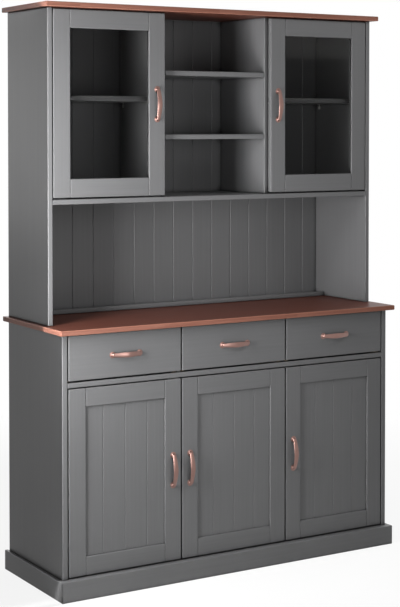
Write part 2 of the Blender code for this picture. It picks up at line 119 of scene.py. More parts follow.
def lacquered_pine(grain):
    """Satin grey lacquer sprayed on planed pine.

    The eye gets an even mid grey with a soft sheen, and the lines of the softwood just showing
    through the film along the board. The pores are drawn twice as coarse as real ones. Narrow
    gaps and inner corners carry painted shade, and go nearly black.
    """
    made, tree, surface = new_material(f"satin_grey_lacquer_on_{grain}_pine")
    along = wood_coordinates(tree, grain, STREAK_WIDTH / STREAK_LENGTH)
    place = lay(tree, "TexCoord", out="Object")
    streak = {"Vector": along, "Scale": 1 / STREAK_WIDTH, "Detail": 4.0, "Roughness": 0.6}
    streaks = lay(tree, "TexNoise", streak, "Fac")
    pore = {"Vector": along, "Scale": 1 / PORE_WIDTH, "Detail": 2.0}
    pores = lay(tree, "TexNoise", pore, "Fac")
    film = {"Vector": place, "Scale": 1 / FILM_CLOUD, "Detail": 2.0}
    cloud = lay(tree, "TexNoise", film, "Fac")
    both = lay(
        tree, "Mix", {"Factor": CLOUD_SHARE, "A": streaks, "B": cloud}, 0, data_type="FLOAT"
    )
    spread = lay(tree, "MapRange", {"Value": both, **CLOUD_SPREAD}, "Result")
    greys = {"Factor": spread, "A": linear(LACQUER_DEEP_GREY), "B": linear(LACQUER_PALE_GREY)}
    grey = lay(tree, "Mix", greys, "Result", data_type="RGBA")
    # painted shade by ambient occlusion: the narrower the gap or corner, the nearer the colour
    # comes to near black
    unoccluded_share = lay(tree, "AmbientOcclusion", {"Distance": PAINTED_SHADE_REACH}, "AO", samples=6)
    clear = lay(tree, "MapRange", {"Value": unoccluded_share, **PAINTED_SHADE_SPREAD}, "Result")
    colours = {"Factor": clear, "A": linear(GAP_PAINTED_SHADE), "B": grey}
    colour = lay(tree, "Mix", colours, "Result", data_type="RGBA")
    sheen = lay(tree, "MapRange", {"Value": cloud, **CLOUD_SPREAD, **SATIN_ROUGHNESS}, "Result")
    relief = lay(
        tree, "Mix", {"Factor": PORE_SHARE, "A": streaks, "B": pores}, 0, data_type="FLOAT"
    )
    bump = lay(tree, "Bump", {"Height": relief, "Strength": 0.5, "Distance": FILM_RIPPLE}, "Normal")
    shader = lay(
        tree, "BsdfPrincipled",
        {"Base Color": colour, "Roughness": sheen, "Normal": bump, "IOR": LACQUER_IOR,
         "Specular IOR Level": SATIN_SPECULAR}, 0,
    )
    tree.links.new(shader, surface)
    return made


grey_pine = {grain: lacquered_pine(grain) for grain in (UPRIGHT, LEVEL, DEEP)}


def block(low, high, radius=EASED_RADIUS, finish=0):
    """A board between two corners, with its edges rounded over."""
    shape = bmesh.new()
    bmesh.ops.create_cube(shape, size=1.0)
    for vert in shape.verts:
        vert.co = [(low, high)[vert.co[axis] > 0][axis] for axis in range(3)]
    bmesh.ops.bevel(
        shape, geom=shape.edges[:], offset=radius, segments=EASED_STEPS, profile=0.5, affect="EDGES"
    )
    for face in shape.faces:
        face.material_index = finish
    return shape


def add_to(shape, other, matrix=None):
    """Puts a copy of one shape into another, moved by a matrix."""
    mesh = bpy.data.meshes.new("passing")
    other.to_mesh(mesh)
    if matrix:
        mesh.transform(matrix)
        if matrix.determinant() < 0:
            mesh.flip_normals()
    shape.from_mesh(mesh)
    bpy.data.meshes.remove(mesh)
    return shape


def fit(name, shape, finishes, body, stands_for=()):
    """Makes a piece of a shape, gives it its finishes, and lets it move with its body."""
    mesh = bpy.data.meshes.new(name)
    shape.to_mesh(mesh)
    shape.free()
    for finish in finishes:
        mesh.materials.append(finish)
    mesh.shade_smooth()
    mesh.set_sharp_from_angle(angle=math.radians(SHARP_DEGREES))
    piece = bpy.data.objects.new(name, mesh)
    bpy.context.scene.collection.objects.link(piece)
    weighting = piece.modifiers.new("even_shading", "WEIGHTED_NORMAL")
    weighting.keep_sharp = True
    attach(piece, body)
    if stands_for:
        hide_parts(*stands_for)
    return piece


def grey_board(node, grain):
    """A grey board of the carcass, as large as its node and in its place."""
    shape = block(*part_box(node))
    fit(f"{node}_board", shape, [grey_pine[grain]], "carcass", [node])


for side in ("left", "right"):
    grey_board(f"base_side_{side}", UPRIGHT)


# Floor, drawer deck and partitions of the base
# Pine boards in the same grey, dowelled between the sides: the floor on the plinth's level, the
# deck that the drawers run on, two short partitions above it and a tall one below it.
for node in ("base_floor", "drawer_deck"):
    grey_board(node, LEVEL)
for node in ("drawer_partition_left", "drawer_partition_right", "door_partition"):
    grey_board(node, UPRIGHT)


# Plinth
# Three boards screwed on from inside. The thick front one runs across and covers the ends of the
# two thin returns along the sides.
grey_board("plinth_front", LEVEL)
for side in ("left", "right"):
    grey_board(f"plinth_{side}", DEEP)


# Back panel of the base
# Thin pine boards glued edge to edge, with fine joints, let in between the tops and the floor
# board. It is held by small countersunk screws into the sides, the floor board and the deck.
JOINT_PITCH = 78.3 * MM
HAIR_JOINT_WIDTH = 1.2 * MM
HAIR_JOINT_DEPTH = 0.4 * MM
VALLEY_SHARES = (
    # across and down a V joint, as shares of its width and depth
    (-0.7, 0), (-0.46, 0.12), (-0.06, 0.94), (0, 1), (0.06, 0.94), (0.46, 0.12), (0.7, 0),
)
BACK_SKIN = 0.5 * MM
SCREW_RADIUS = 3.5 * MM
SCREW_RISE = 0.45 * MM
SCREW_INSET = 9 * MM
SCREW_SPACING = 150 * MM
HEAD_SHARES = ((1, -1), (1, 0.15), (0.9, 0.62), (0.62, 0.92), (0.25, 1))
SLOT_LENGTH_SHARE = 1.1
SLOT_WIDTH_SHARE = 0.24
SLOT_FLOOR_SHARE = 0.2
SLOT_ROUND_SHARE = 0.3
ROUND_SIDES = 32
NICKEL_SPOT = 3 * MM
NICKEL_DEEP = "#b9b8b4"
NICKEL_PALE = "#cfcecb"
NICKEL_ROUGHNESS = {"To Min": 0.24, "To Max": 0.42}


def skin(rings):
    """A closed solid through rings of points: a wall from ring to ring and a face at each end."""
    shape = bmesh.new()
    rows = [[shape.verts.new(point) for point in ring] for ring in rings]
    for lower, upper in zip(rows, rows[1:]):
        for place in range(len(lower)):
            after = (place + 1) % len(lower)
            shape.faces.new((lower[place], lower[after], upper[after], upper[place]))
    shape.faces.new(rows[0])
    shape.faces.new(rows[-1])
    bmesh.ops.recalc_face_normals(shape, faces=shape.faces)
    return shape


def boarding(low, high, width, depth, back_width, back_depth):
    """Upright boards side by side, as one plan outline: a V joint at each pitch, front and back.

    The mouth of each V is eased, so that it catches a thin line of light beside a thin dark one.
    """
    middle = (low.x + high.x) / 2
    half = (high.x - low.x) / 2
    count = math.floor((half - width) / JOINT_PITCH)
    front, back = [], []
    for step in range(-count, count + 1):
        at = middle + step * JOINT_PITCH
        front += [(at + x * width, low.y + y * depth) for x, y in VALLEY_SHARES]
        back += [(at + x * back_width, high.y - y * back_depth) for x, y in VALLEY_SHARES]
    points = [(low.x, low.y), *front, (high.x, low.y)]
    points += [(high.x, high.y), *reversed(back), (low.x, high.y)]
    return skin([[(x, y, z) for x, y in points] for z in (low.z, high.z)])


def carve(shape, cutters, operation="DIFFERENCE"):
    """Cuts other shapes out of a shape, or joins them to it, as closed solids."""
    made = []
    for part in (shape, *cutters):
        mesh = bpy.data.meshes.new("blank")
        part.to_mesh(mesh)
        part.free()
        made.append(bpy.data.objects.new("blank", mesh))
        bpy.context.scene.collection.objects.link(made[-1])
    for cutter in made[1:]:
        step = made[0].modifiers.new("cut", "BOOLEAN")
        step.operation = operation
        step.solver = "EXACT"
        step.object = cutter
    bpy.context.view_layer.update()
    whole = made[0].evaluated_get(bpy.context.evaluated_depsgraph_get()).to_mesh()
    result = bmesh.new()
    result.from_mesh(whole)
    for item in made:
        mesh = item.data
        bpy.data.objects.remove(item)
        bpy.data.meshes.remove(mesh)
    return result


def turned(profile):
    """A turned solid about Z, closed at both ends, from (radius, height) points going up."""
    turns = [2 * math.pi * step / ROUND_SIDES for step in range(ROUND_SIDES)]
    return skin([
        [(radius * math.cos(turn), radius * math.sin(turn), height) for turn in turns]
        for radius, height in profile
    ])


def cross_screw(radius, rise):
    """The head of a cross-recess screw, standing up from Z zero."""
    head = turned([(radius * wide, rise * up) for wide, up in HEAD_SHARES])
    long, thin = radius * SLOT_LENGTH_SHARE / 2, radius * SLOT_WIDTH_SHARE / 2
    floor, ease = rise * SLOT_FLOOR_SHARE, thin * SLOT_ROUND_SHARE
    bars = [(long, thin), (thin, long)]
    return carve(head, [block((-x, -y, floor), (x, y, rise * 2), ease) for x, y in bars])


def facing(place, direction, scale=1.0):
    """The matrix that stands a part made along Z at a place, pointing in a direction."""
    turn = Vector((0, 0, 1)).rotation_difference(Vector(direction)).to_matrix().to_4x4()
    return Matrix.Translation(place) @ turn @ Matrix.Scale(scale, 4)


def nickelled_steel():
    """Screws, hinges and pins: cold-formed steel, barrel plated with nickel, a cool soft mirror."""
    made, tree, surface = new_material("barrel_nickelled_steel")
    place = lay(tree, "TexCoord", out="Object")
    spots = lay(tree, "TexNoise", {"Vector": place, "Scale": 1 / NICKEL_SPOT, "Detail": 3.0}, "Fac")
    colours = {"Factor": spots, "A": linear(NICKEL_DEEP), "B": linear(NICKEL_PALE)}
    colour = lay(tree, "Mix", colours, "Result", data_type="RGBA")
    dull = lay(tree, "MapRange", {"Value": spots, **NICKEL_ROUGHNESS}, "Result")
    metal = {"Base Color": colour, "Metallic": 1.0, "Roughness": dull}
    tree.links.new(lay(tree, "BsdfPrincipled", metal, 0), surface)
    return made


nickel = nickelled_steel()
screw = cross_screw(SCREW_RADIUS, SCREW_RISE)


def spread_out(low, high, spacing):
    """Places between two ends, as near to a spacing as whole steps allow."""
    steps = max(1, round((high - low) / spacing))
    return [low + (high - low) * step / steps for step in range(steps + 1)]


def back_panel(node, rows, width, depth):
    """A boarded back in its place, with a frame of screws round it and along each row."""
    low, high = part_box(node)
    skin = high - Vector((0, BACK_SKIN, 0))
    shape = boarding(low, skin, width, depth, HAIR_JOINT_WIDTH, HAIR_JOINT_DEPTH)
    fit(f"{node}_boards", shape, [grey_pine[UPRIGHT]], "carcass", [node])
    left, right = low.x + SCREW_INSET, high.x - SCREW_INSET
    spots = [(x, z) for x in (left, right) for z in spread_out(rows[0], rows[-1], SCREW_SPACING)]
    spots += [(x, z) for z in rows for x in spread_out(left, right, SCREW_SPACING)[1:-1]]
    heads = bmesh.new()
    for x, z in spots:
        add_to(heads, screw, facing((x, skin.y, z), (0, 1, 0)))
    fit(f"{node}_screws", heads, [nickel], "carcass")


def middle_z(node):
    """The height of a board's middle, where screws meet it."""
    low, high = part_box(node)
    return (low.z + high.z) / 2


back_panel(
    "base_back_panel",
    [middle_z("base_floor"), middle_z("drawer_deck"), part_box("worktop")[0].z - SCREW_INSET],
    HAIR_JOINT_WIDTH,
    HAIR_JOINT_DEPTH,
)


# Loose shelves of the base
# Pine boards in the same grey. Each lies on four steel pins, pushed into bores in the uprights:
# a round collar against the wood, and a narrow bent tongue that comes up under the shelf.
PIN_RADIUS = 6 * MM
PIN_COLLAR = 2.6 * MM
COLLAR_SHARES = ((1, 0.6), (0.86, 1), (0.3, 1))
PIN_DROP = 13 * MM
PIN_TONGUE = 8 * MM
PIN_HALF_WIDTH = 2 * MM
PIN_SHEET = 1 * MM
PIN_EASE = 0.3 * MM
PIN_CLEAR = 0.1 * MM
PIN_FROM_FRONT = 42 * MM
PIN_FROM_BACK = 23 * MM
SHELF_PLAY = 0.5 * MM


def shelf_pin():
    """One pin on an upright at X zero, its tongue just under Z zero."""
    collar = [(PIN_RADIUS, PIN_CLEAR)]
    collar += [(PIN_RADIUS * wide, PIN_COLLAR * up) for wide, up in COLLAR_SHARES]
    drop = Matrix.Translation((0, 0, -PIN_DROP))
    shape = add_to(bmesh.new(), turned(collar), drop @ facing((0, 0, 0), (1, 0, 0)))
    width, top = PIN_HALF_WIDTH, -2 * PIN_CLEAR
    for corner, opposite in (
        ((PIN_CLEAR, -width, -PIN_DROP), (PIN_CLEAR + PIN_SHEET, width, top)),
        ((PIN_CLEAR, -width, top - PIN_SHEET), (PIN_TONGUE, width, top)),
    ):
        add_to(shape, block(corner, opposite, PIN_EASE))
    return shape


pin = shelf_pin()
mirrored = Matrix.Diagonal((-1, 1, 1, 1))


def shelf_pins(node):
    """Four pins under a shelf, their collars on the uprights at its ends."""
    low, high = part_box(node)
    pins = bmesh.new()
    for y in (low.y + PIN_FROM_FRONT, high.y - PIN_FROM_BACK):
        add_to(pins, pin, Matrix.Translation((low.x - SHELF_PLAY, y, low.z)))
        add_to(pins, pin, Matrix.Translation((high.x + SHELF_PLAY, y, low.z)) @ mirrored)
    fit(f"{node}_pins", pins, [nickel], "carcass")


for node in ("base_shelf_wide", "base_shelf_narrow"):
    grey_board(node, LEVEL)
    shelf_pins(node)


# Worktop
# One board glued up from pine staves, stained brown and sealed with a satin varnish. It overhangs
# the sides and the front, and is screwed on from below.
STAVE_WIDTH = 46 * MM
STAVE_LENGTH = 510 * MM
STAVE_SHIFT = 0.37
STAVE_TONE_SHARE = 0.45
SEAM_WIDTH = 0.9 * MM
SEAM_SHARE = 0.22
RING_WIDTH = 9 * MM
RING_LENGTH = 330 * MM
RING_SPREAD = {"From Min": 0.34, "From Max": 0.66}
RING_RELIEF = 0.1 * MM
STAIN_SEAM = "#3a241e"
STAIN_DARK = "#4a2820"
STAIN_MID = "#532e25"
STAIN_PALE = "#5c372c"
# painted light: narrow upright faces of the stained boards are paler than the broad faces, and the
# arrises along top and bottom are a painted highlight
PAINTED_LIGHT_EDGE_DARK = "#6f473b"
PAINTED_LIGHT_EDGE_PALE = "#80574a"
PAINTED_HIGHLIGHT_ARRIS = "#896051"
BROAD_FACE_LIFT = {"From Min": 0.94, "From Max": 0.995}
PAINTED_HIGHLIGHT_LIFT = {"From Min": 0.1, "From Max": 0.5}
VARNISH_IOR = 1.5
VARNISH_SPECULAR = 0.1
VARNISH_ROUGHNESS = {"To Min": 0.34, "To Max": 0.46}


def stained_pine():
    """Brown water stain on glued pine staves under satin varnish.

    The eye gets a warm red brown with long darker year rings, a slightly other tone in each
    stave, and a hair line where two staves meet end to end. The narrow upright faces are painted
    paler than the broad ones, as painted light, and the rounded arrises along the top and bottom
    paler still, as a painted highlight.
    """
    made, tree, surface = new_material("satin_varnished_brown_pine_staves")
    place = lay(tree, "TexCoord", out="Object")
    parts = lay(tree, "SeparateXYZ", {0: place}).outputs
    row = lay(tree, "Math", {0: parts["Y"], 1: 1 / STAVE_WIDTH}, 0, operation="MULTIPLY")
    row = lay(tree, "Math", {0: row}, 0, operation="FLOOR")
    slip = lay(tree, "TexWhiteNoise", {"W": row}, "Value", noise_dimensions="1D")
    run = {0: parts["X"], 1: 1 / STAVE_LENGTH, 2: slip}
    run = lay(tree, "Math", run, 0, operation="MULTIPLY_ADD")
    stave = lay(tree, "Math", {0: run}, 0, operation="FLOOR")
    cell = lay(tree, "CombineXYZ", {"X": stave, "Y": row}, 0)
    tone = lay(tree, "TexWhiteNoise", {"Vector": cell}, "Value", noise_dimensions="2D")
    shift = lay(tree, "VectorMath", {0: cell, "Scale": STAVE_SHIFT}, 0, operation="SCALE")
    shifted = lay(tree, "VectorMath", {0: place, 1: shift}, 0, operation="ADD")
    drawn = {"Vector": shifted, "Scale": (RING_WIDTH / RING_LENGTH, 1, 1)}
    drawn = lay(tree, "Mapping", drawn, "Vector")
    rings = lay(
        tree, "TexNoise",
        {"Vector": drawn, "Scale": 1 / RING_WIDTH, "Detail": 5.0, "Roughness": 0.62,
         "Distortion": 0.4}, "Fac",
    )
    crisp = lay(tree, "MapRange", {"Value": rings, **RING_SPREAD}, "Result")
    wood = {"Factor": crisp, "A": linear(STAIN_DARK), "B": linear(STAIN_PALE)}
    wood = lay(tree, "Mix", wood, "Result", data_type="RGBA")
    share = lay(tree, "Math", {0: tone, 1: STAVE_TONE_SHARE}, 0, operation="MULTIPLY")
    toned = {"Factor": share, "A": wood, "B": linear(STAIN_MID)}
    toned = lay(tree, "Mix", toned, "Result", data_type="RGBA")
    from_end = lay(tree, "Math", {0: run}, 0, operation="FRACT")
    hair = {0: from_end, 1: SEAM_WIDTH / STAVE_LENGTH}
    hair = lay(tree, "Math", hair, 0, operation="LESS_THAN")
    hair = lay(tree, "Math", {0: hair, 1: SEAM_SHARE}, 0, operation="MULTIPLY")
    face = {"Factor": hair, "A": toned, "B": linear(STAIN_SEAM)}
    face = lay(tree, "Mix", face, "Result", data_type="RGBA")
    # painted light: the colour follows which way the face points, darker on broad faces, paler on
    # narrow faces, palest on the arrises
    lift = lay(tree, "SeparateXYZ", {0: lay(tree, "TexCoord", out="Normal")}, "Z")
    lift = lay(tree, "Math", {0: lift}, 0, operation="ABSOLUTE")
    broad = lay(tree, "MapRange", {"Value": lift, **BROAD_FACE_LIFT}, "Result")
    rounded = lay(tree, "MapRange", {"Value": lift, **PAINTED_HIGHLIGHT_LIFT}, "Result")
    edge = {"Factor": crisp, "A": linear(PAINTED_LIGHT_EDGE_DARK), "B": linear(PAINTED_LIGHT_EDGE_PALE)}
    edge = lay(tree, "Mix", edge, "Result", data_type="RGBA")
    edge = {"Factor": rounded, "A": edge, "B": linear(PAINTED_HIGHLIGHT_ARRIS)}
    edge = lay(tree, "Mix", edge, "Result", data_type="RGBA")
    colour = {"Factor": broad, "A": edge, "B": face}
    colour = lay(tree, "Mix", colour, "Result", data_type="RGBA")
    bump = lay(tree, "Bump", {"Height": rings, "Strength": 0.5, "Distance": RING_RELIEF}, "Normal")
    sheen = lay(tree, "MapRange", {"Value": rings, **VARNISH_ROUGHNESS}, "Result")
    shader = lay(
        tree, "BsdfPrincipled",
        {"Base Color": colour, "Roughness": sheen, "Normal": bump, "IOR": VARNISH_IOR,
         "Specular IOR Level": VARNISH_SPECULAR}, 0,
    )
    tree.links.new(shader, surface)
    return made


brown_pine = stained_pine()
shape = block(*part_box("worktop"))
fit("worktop_staves", shape, [brown_pine], "carcass", ["worktop"])


# Hutch sides, deck and partitions
# Thinner pine boards in the same grey. The sides stand on the worktop, the deck is dowelled
# between them above the niche, and two partitions make three compartments over it.
for side in ("left", "right"):
    grey_board(f"hutch_side_{side}", UPRIGHT)
    grey_board(f"hutch_partition_{side}", UPRIGHT)
grey_board("hutch_deck", LEVEL)


# Boarded back of the hutch
# Tongue-and-groove pine with a V at each joint, in the same grey, from the worktop to the crown.
# Small screws hold it to the sides and to the deck.
V_WIDTH = 4 * MM
V_DEPTH = 2 * MM
panel_low, panel_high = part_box("hutch_back_panel")
back_panel(
    "hutch_back_panel",
    [panel_low.z + SCREW_INSET, middle_z("hutch_deck"), panel_high.z - SCREW_INSET],
    V_WIDTH,
    V_DEPTH,
)


# Low rail at the back of the niche
# A grey pine strip, dowelled between the hutch sides just above the worktop. Plates stand against
# it, and it stiffens the bottom of the hutch.
grey_board("hutch_back_rail", LEVEL)


# Shelves of the hutch
# Grey pine boards. The two behind glass lie loose on steel pins, and the two open ones in the
# middle are dowelled between the partitions.
for side in ("left", "right"):
    grey_board(f"glazed_shelf_{side}", LEVEL)
    shelf_pins(f"glazed_shelf_{side}")
for place in ("lower", "upper"):
    grey_board(f"open_shelf_{place}", LEVEL)


# Crown board
# One board glued up from pine staves like the worktop, with the same stain and varnish. It is
# screwed onto the top of the hutch.
shape = block(*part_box("crown_board"))
fit("crown_staves", shape, [brown_pine], "carcass", ["crown_board"])


# Drawer fronts
# Plain pine slabs with level grain and rounded edges, sprayed grey. Each is screwed to its box
# from inside.
DRAWERS = ("left", "middle", "right")
for word in DRAWERS:
    node = f"drawer_front_{word}"
    shape = block(*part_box(node))
    fit(f"{node}_slab", shape, [grey_pine[LEVEL]], f"{word}_drawer", [node])


# Drawer boxes
# Clear-lacquered birch sides, front and back with a birch plywood bottom held in a groove. The
# sides run on the deck, and the front and back walls stay clear of it.
WALL = 12 * MM
BOTTOM_UNDER = 8 * MM
BOTTOM = 5 * MM
WALL_EASE = 1.5 * MM
BOTTOM_EASE = 0.3 * MM
BIRCH_DEEP = "#a3917a"
BIRCH_PALE = "#b7a68c"
BIRCH_RING = 6 * MM
BIRCH_RING_LENGTH = 200 * MM
BIRCH_SPREAD = {"From Min": 0.35, "From Max": 0.65}
BIRCH_RELIEF = 0.1 * MM
PLY_DEEP = "#a99779"
PLY_PALE = "#bfae8f"
PLY_FLAME = 22 * MM
PLY_DRAWN_SHARE = 0.12
PLY_FLECK = 2.5 * MM
PLY_FLECK_SHARE = 0.3


def clear_birch():
    """Drawer walls: planed birch under clear lacquer, light greyish tan with faint level rings."""
    made, tree, surface = new_material("clear_lacquered_birch")
    along = wood_coordinates(tree, LEVEL, BIRCH_RING / BIRCH_RING_LENGTH)
    rings = {"Vector": along, "Scale": 1 / BIRCH_RING, "Detail": 4.0, "Distortion": 0.3}
    rings = lay(tree, "TexNoise", rings, "Fac")
    sharp = lay(tree, "MapRange", {"Value": rings, **BIRCH_SPREAD}, "Result")
    colour = {"Factor": sharp, "A": linear(BIRCH_DEEP), "B": linear(BIRCH_PALE)}
    colour = lay(tree, "Mix", colour, "Result", data_type="RGBA")
    bump = lay(tree, "Bump", {"Height": rings, "Strength": 0.4, "Distance": BIRCH_RELIEF}, "Normal")
    wood = {"Base Color": colour, "Roughness": 0.48, "Normal": bump}
    tree.links.new(lay(tree, "BsdfPrincipled", wood, 0), surface)
    return made


def birch_ply():
    """Drawer bottoms: rotary-cut birch plywood, light tan with broad flames in the veneer."""
    made, tree, surface = new_material("rotary_cut_birch_plywood")
    along = wood_coordinates(tree, DEEP, PLY_DRAWN_SHARE)
    flames = {"Vector": along, "Scale": 1 / PLY_FLAME, "Detail": 5.0, "Distortion": 1.2}
    flames = lay(tree, "TexNoise", flames, "Fac")
    flecks = lay(tree, "TexNoise", {"Vector": along, "Scale": 1 / PLY_FLECK, "Detail": 1.0}, "Fac")
    mixed = {"Factor": PLY_FLECK_SHARE, "A": flames, "B": flecks}
    mixed = lay(tree, "Mix", mixed, 0, data_type="FLOAT")
    colour = {"Factor": mixed, "A": linear(PLY_DEEP), "B": linear(PLY_PALE)}
    colour = lay(tree, "Mix", colour, "Result", data_type="RGBA")
    wood = {"Base Color": colour, "Roughness": 0.55}
    tree.links.new(lay(tree, "BsdfPrincipled", wood, 0), surface)
    return made


box_wood = [clear_birch(), birch_ply()]
for word in DRAWERS:
    node = f"drawer_box_{word}"
    low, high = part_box(node)
    left, right, floor = low.x + WALL, high.x - WALL, low.z + BOTTOM_UNDER
    shape = block(low, (left, high.y, high.z), WALL_EASE)
    add_to(shape, block((right, low.y, low.z), high, WALL_EASE))
    for y in (low.y, high.y - WALL):
        add_to(shape, block((left, y, floor), (right, y + WALL, high.z), WALL_EASE))
    bottom = (left, low.y + WALL, floor), (right, high.y - WALL, floor + BOTTOM)
    add_to(shape, block(*bottom, BOTTOM_EASE, 1))
    fit(f"{node}_walls", shape, box_wood, f"{word}_drawer", [node])


# Bow handles
# Cast zinc, tumbled and plated in satin copper: a bowed strap, crowned outside and flat inside,
# on two turned feet. Two screws through the wood hold each one.
FOOT_SPACING = 96 * MM
STRAP_OVERRUN = 4 * MM
STRAP_END_RISE = 8 * MM
STRAP_MIDDLE_RISE = 20 * MM
STRAP_END_WIDTH = 11.5 * MM
STRAP_MIDDLE_WIDTH = 17 * MM
STRAP_THICKNESS = 4 * MM
STRAP_RINGS = 33
STRAP_SIDES = 20
EVEN_RADIANS = 1.2
ARCH_POWER = 1.6
TIP_ROUND = 2.4 * MM
TIP_SHARE = 0.02
INSIDE_POWER = 0.45
INSIDE_SHARE = 0.8
FOOT_PROFILE = (
    # radius and height, in millimetres
    (10.2, 0.0), (10.5, 0.3), (10.5, 0.8), (10.2, 1.1), (9.4, 1.4), (7.2, 1.8), (5.8, 2.4),
    (5.0, 3.4), (4.6, 5.0), (4.4, 8.2),
)
WOOD_SCREW_RADIUS = 4.2 * MM
WOOD_SCREW_RISE = 1.6 * MM
COPPER_BROWN = "#74554d"
COPPER_PINK = "#87665e"
COPPER_PATCH = 14 * MM
COPPER_GRIT = 0.8 * MM
COPPER_RELIEF = 0.04 * MM
COPPER_ROUGHNESS = {"To Min": 0.3, "To Max": 0.42}
CLEAR_COAT = {"Coat Weight": 0.7, "Coat Roughness": 0.3}


def satin_copper():
    """Copper plate on tumbled zinc under clear lacquer: a warm pink metal with a satin surface.

    The eye gets soft highlights, and a little more brown in soft patches. The grit of the
    tumbling is drawn several times as coarse as the real one, so that it shows.
    """
    made, tree, surface = new_material("satin_copper_plate")
    place = lay(tree, "TexCoord", out="Object")
    patch = {"Vector": place, "Scale": 1 / COPPER_PATCH, "Detail": 3.0}
    patch = lay(tree, "TexNoise", patch, "Fac")
    grit = lay(tree, "TexNoise", {"Vector": place, "Scale": 1 / COPPER_GRIT, "Detail": 2.0}, "Fac")
    colour = {"Factor": patch, "A": linear(COPPER_BROWN), "B": linear(COPPER_PINK)}
    colour = lay(tree, "Mix", colour, "Result", data_type="RGBA")
    dull = lay(tree, "MapRange", {"Value": grit, **COPPER_ROUGHNESS}, "Result")
    bump = {"Height": grit, "Strength": 0.25, "Distance": COPPER_RELIEF}
    bump = lay(tree, "Bump", bump, "Normal")
    metal = {"Base Color": colour, "Metallic": 1.0, "Roughness": dull, "Normal": bump}
    tree.links.new(lay(tree, "BsdfPrincipled", {**metal, **CLEAR_COAT}, 0), surface)
    return made


def bow_handle():
    """One handle along X on a face at Y zero, standing out along -Y."""
    reach = FOOT_SPACING / 2 + STRAP_OVERRUN
    rings = []
    for step in range(STRAP_RINGS):
        turn = math.pi * (step / (STRAP_RINGS - 1) - 0.5)
        share = math.sin(turn)
        if abs(turn) <= EVEN_RADIANS:
            share = turn / EVEN_RADIANS * math.sin(EVEN_RADIANS)
        bow = 1 - abs(share) ** ARCH_POWER
        rise = STRAP_END_RISE + (STRAP_MIDDLE_RISE - STRAP_END_RISE) * bow
        left_over = reach * (1 - abs(share))
        close = math.sqrt(max(TIP_SHARE, 1 - max(0, 1 - left_over / TIP_ROUND) ** 2))
        wide = (STRAP_END_WIDTH + (STRAP_MIDDLE_WIDTH - STRAP_END_WIDTH) * bow) / 2 * close
        thick = STRAP_THICKNESS / 2 * close
        ring = []
        for side in range(STRAP_SIDES):
            angle = 2 * math.pi * side / STRAP_SIDES
            across, out = math.cos(angle), math.sin(angle)
            crown = thick * (out if out > 0 else -(abs(out) ** INSIDE_POWER) * INSIDE_SHARE)
            ring.append((share * reach, -rise - crown, across * wide))
        rings.append(ring)
    feet = []
    for side in (-1, 1):
        foot = turned([(radius * MM, height * MM) for radius, height in FOOT_PROFILE])
        spot = facing((side * FOOT_SPACING / 2, 0, 0), (0, -1, 0))
        feet.append(add_to(bmesh.new(), foot, spot))
    return carve(skin(rings), feet, "UNION")


copper = satin_copper()
handle_pattern = bow_handle()
wood_screw = cross_screw(WOOD_SCREW_RADIUS, WOOD_SCREW_RISE)


def fit_handle(node, body, upright, inner_face_y):
    """A handle in the place of its node, and the heads of its two screws on the inner face."""
    low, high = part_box(node)
    place = Vector(((low.x + high.x) / 2, high.y, (low.z + high.z) / 2))
    turn = Matrix.Rotation(math.radians(90), 4, "Y") if upright else Matrix()
    shape = add_to(bmesh.new(), handle_pattern, Matrix.Translation(place) @ turn)
    fit(f"{node}_casting", shape, [copper], body, [node])
    heads = bmesh.new()
    for side in (-1, 1):
        step = side * FOOT_SPACING / 2
        spot = (place.x + step * (not upright), inner_face_y, place.z + step * upright)
        add_to(heads, wood_screw, facing(spot, (0, 1, 0)))
    fit(f"{node}_screws", heads, [nickel], body)


for word in DRAWERS:
    wall_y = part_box(f"drawer_box_{word}")[0].y + WALL
    fit_handle(f"drawer_handle_{word}", f"{word}_drawer", False, wall_y)


# Frames of the doors
# Each door has two stiles and two rails of pine, rounded over before they are glued, so that a
# fine V shows at each joint. A groove takes the panel, and a rebate at the back takes the pane.
STILE = 59 * MM
RAIL = 58.5 * MM
SEAT_GAP = 0.3 * MM
SEAT_EASE = 0.1 * MM
CUP_BORE = 17.5 * MM
CUP_DEPTH = 12 * MM
CUP_INSET = 21.5 * MM
HINGE_INSET = 90 * MM
OVERCUT = 2 * MM
# minus one for a door that hangs on its left, one for a door that hangs on its right
BASE_DOORS = {"left_door": -1, "middle_door": 1, "right_door": 1}
GLAZED_DOORS = {"left_glazed_door": -1, "right_glazed_door": 1}

upright_and_level = [grey_pine[UPRIGHT], grey_pine[LEVEL]]


def hinge_heights(word):
    """The heights of a door's lower and upper hinge."""
    low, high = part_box(f"{word}_frame")
    return low.z + HINGE_INSET, high.z - HINGE_INSET


